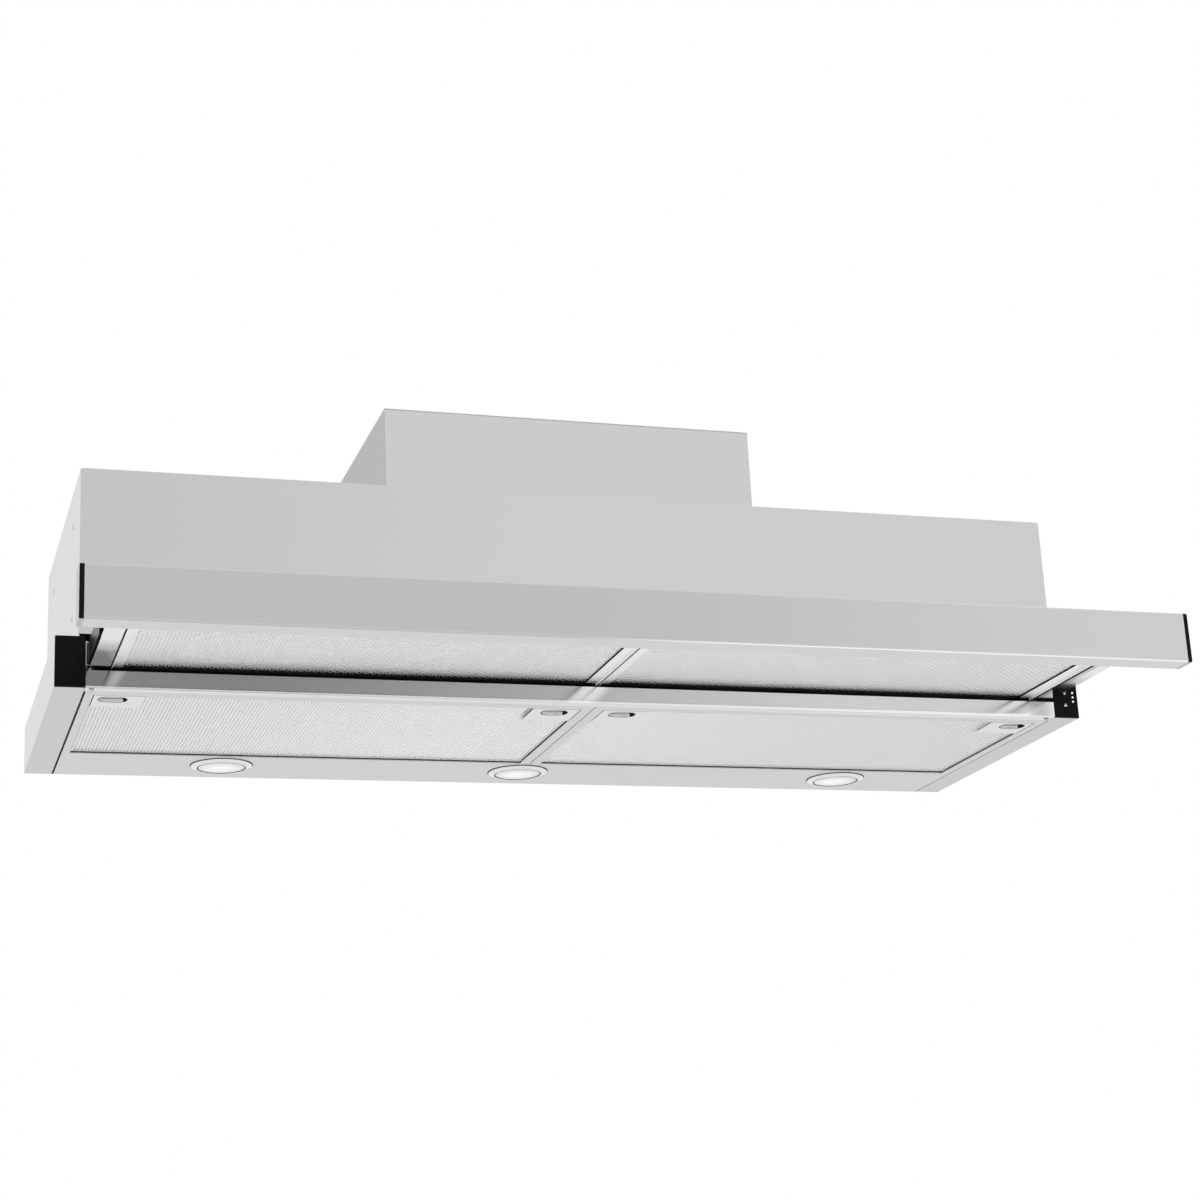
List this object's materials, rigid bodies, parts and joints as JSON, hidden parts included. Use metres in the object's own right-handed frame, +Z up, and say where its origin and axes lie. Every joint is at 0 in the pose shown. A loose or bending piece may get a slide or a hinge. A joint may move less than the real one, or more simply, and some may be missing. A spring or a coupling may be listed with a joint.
{
  "type": "pull-out range hood",
  "caption": "Slim pull-out range hood in brushed steel: a cabinet-hung housing with fan, lamps and grease filters, and a filter drawer that slides forward.",
  "frame": {"origin": "middle of the base of the whole part with the drawer pulled out, level with the drawer front's lower edge and the lamp bezels", "axes": "+X across the hood to the right as seen from the front, +Y back towards the wall, +Z up"},
  "size_m": [0.898, 0.4946, 0.3025],
  "materials": {
    "steel_front": "fine horizontal brushing, satin",
    "steel_fascia": "fine horizontal brushing, with broad soft bands",
    "latch_alu": "bright sliding latch",
    "steel_side": "fine brushing, satin",
    "steel_under": "smooth satin sheet",
    "steel_strip": "nearly mirror-bright sheet",
    "galvanised": "galvanised inner sheet",
    "rail_steel": "zinc-plated rolled steel",
    "filter_alu": "bright stamped aluminium",
    "mesh_alu": "expanded aluminium mesh",
    "black_gloss": "gloss black moulding",
    "black_matte": "matte black moulding",
    "grey_plastic": "moulded grey plastic",
    "board": "printed circuit board",
    "button_black": "gloss black button",
    "led_white": "milky light pipe",
    "bezel_chrome": "bright chrome ring",
    "lens_frost": "frosted lens",
    "impeller_plastic": "moulded dark plastic",
    "motor_steel": "zinc-plated motor can",
    "shaft_steel": "ground steel",
    "white_can": "white plastic can",
    "screw_steel": "zinc-plated screws"
  },
  "bodies": {
    "housing": {"side_channel_left": "steel_side", "side_channel_right": "steel_side", "underside_panel": "steel_under", "centre_bar": "galvanised", "front_strip": "steel_strip", "end_block": "black_gloss", "control_block": "black_gloss", "control_board": "board", "indicator_lenses": "led_white", "side_panel_left": "steel_side", "side_panel_right": "steel_side", "back_panel": "galvanised", "top_panel": "galvanised", "front_panel": "steel_front", "chimney_shell": "steel_side", "chimney_lid": "galvanised", "chimney_screws": "screw_steel", "duct_collar": "black_matte", "outlet_adapter": "grey_plastic", "flap_rod": "shaft_steel", "casing_left": "grey_plastic", "casing_right": "grey_plastic", "inlet_rings": "black_matte", "motor": "motor_steel", "motor_bracket": "galvanised", "capacitor": "white_can", "electronics_box": "black_matte", "cable_gland": "black_matte", "lamp_bezels": "bezel_chrome", "lamp_lenses": "lens_frost", "lamp_modules": "black_matte", "hinge_ears": "galvanised", "slides_outer": "rail_steel"},
    "drawer": {"slides_inner": "rail_steel", "drawer_rail_left": "steel_under", "drawer_rail_right": "steel_under", "drawer_top": "galvanised", "drawer_bars": "galvanised", "drawer_filter_left": "mesh_alu", "drawer_filter_right": "mesh_alu", "fascia": "steel_fascia", "fascia_caps": "black_gloss"},
    "slide_middle_left": {"slide_middle_left": "rail_steel"},
    "slide_middle_right": {"slide_middle_right": "rail_steel"},
    "filter_left": {"filter_frame_left": "filter_alu", "filter_net_left": "mesh_alu"},
    "filter_right": {"filter_frame_right": "filter_alu", "filter_net_right": "mesh_alu"},
    "latch_left_outer": {"latch_left_outer": "latch_alu"},
    "latch_left_inner": {"latch_left_inner": "latch_alu"},
    "latch_right_inner": {"latch_right_inner": "latch_alu"},
    "latch_right_outer": {"latch_right_outer": "latch_alu"},
    "light_button": {"light_button": "button_black"},
    "fan_button": {"fan_button": "button_black"},
    "rotor": {"impeller": "impeller_plastic", "motor_shaft": "shaft_steel"},
    "flap_front": {"flap_front": "grey_plastic"},
    "flap_rear": {"flap_rear": "grey_plastic"}
  },
  "joints": [
    {"name": "drawer_slide", "type": "slide", "parent": "housing", "child": "drawer", "axis": [0, 1, 0], "range_m": [0, 0.172]},
    {"name": "middle_left_slide", "type": "slide", "parent": "housing", "child": "slide_middle_left", "axis": [0, 1, 0], "range_m": [0, 0.086]},
    {"name": "middle_right_slide", "type": "slide", "parent": "housing", "child": "slide_middle_right", "axis": [0, 1, 0], "range_m": [0, 0.086]},
    {"name": "impeller_spin", "type": "hinge", "parent": "housing", "child": "rotor", "pos_m": [0, 0.07675, 0.1507], "axis": [1, 0, 0], "continuous": true},
    {"name": "flap_front_hinge", "type": "hinge", "parent": "housing", "child": "flap_front", "pos_m": [0, 0.14725, 0.2825], "axis": [-1, 0, 0], "range_deg": [0, 75]},
    {"name": "flap_rear_hinge", "type": "hinge", "parent": "housing", "child": "flap_rear", "pos_m": [0, 0.14725, 0.2825], "axis": [1, 0, 0], "range_deg": [0, 75]},
    {"name": "light_button_press", "type": "slide", "parent": "housing", "child": "light_button", "axis": [0, 1, 0], "range_m": [0, 0.001], "stiffness_N_per_m": 200},
    {"name": "fan_button_press", "type": "slide", "parent": "housing", "child": "fan_button", "axis": [0, 1, 0], "range_m": [0, 0.001], "stiffness_N_per_m": 200},
    {"name": "filter_left_hinge", "type": "hinge", "parent": "housing", "child": "filter_left", "pos_m": [0, 0.16325, 0.0057], "axis": [1, 0, 0], "range_deg": [0, 70]},
    {"name": "filter_right_hinge", "type": "hinge", "parent": "housing", "child": "filter_right", "pos_m": [0, 0.16325, 0.0057], "axis": [1, 0, 0], "range_deg": [0, 70]},
    {"name": "latch_left_outer_slide", "type": "slide", "parent": "filter_left", "child": "latch_left_outer", "axis": [0, 1, 0], "range_m": [0, 0.005], "stiffness_N_per_m": 300},
    {"name": "latch_left_inner_slide", "type": "slide", "parent": "filter_left", "child": "latch_left_inner", "axis": [0, 1, 0], "range_m": [0, 0.005], "stiffness_N_per_m": 300},
    {"name": "latch_right_inner_slide", "type": "slide", "parent": "filter_right", "child": "latch_right_inner", "axis": [0, 1, 0], "range_m": [0, 0.005], "stiffness_N_per_m": 300},
    {"name": "latch_right_outer_slide", "type": "slide", "parent": "filter_right", "child": "latch_right_outer", "axis": [0, 1, 0], "range_m": [0, 0.005], "stiffness_N_per_m": 300}
  ],
  "couplings": [
    {"joint": "middle_left_slide", "follows": "drawer_slide", "ratio": 0.5},
    {"joint": "middle_right_slide", "follows": "drawer_slide", "ratio": 0.5}
  ]
}
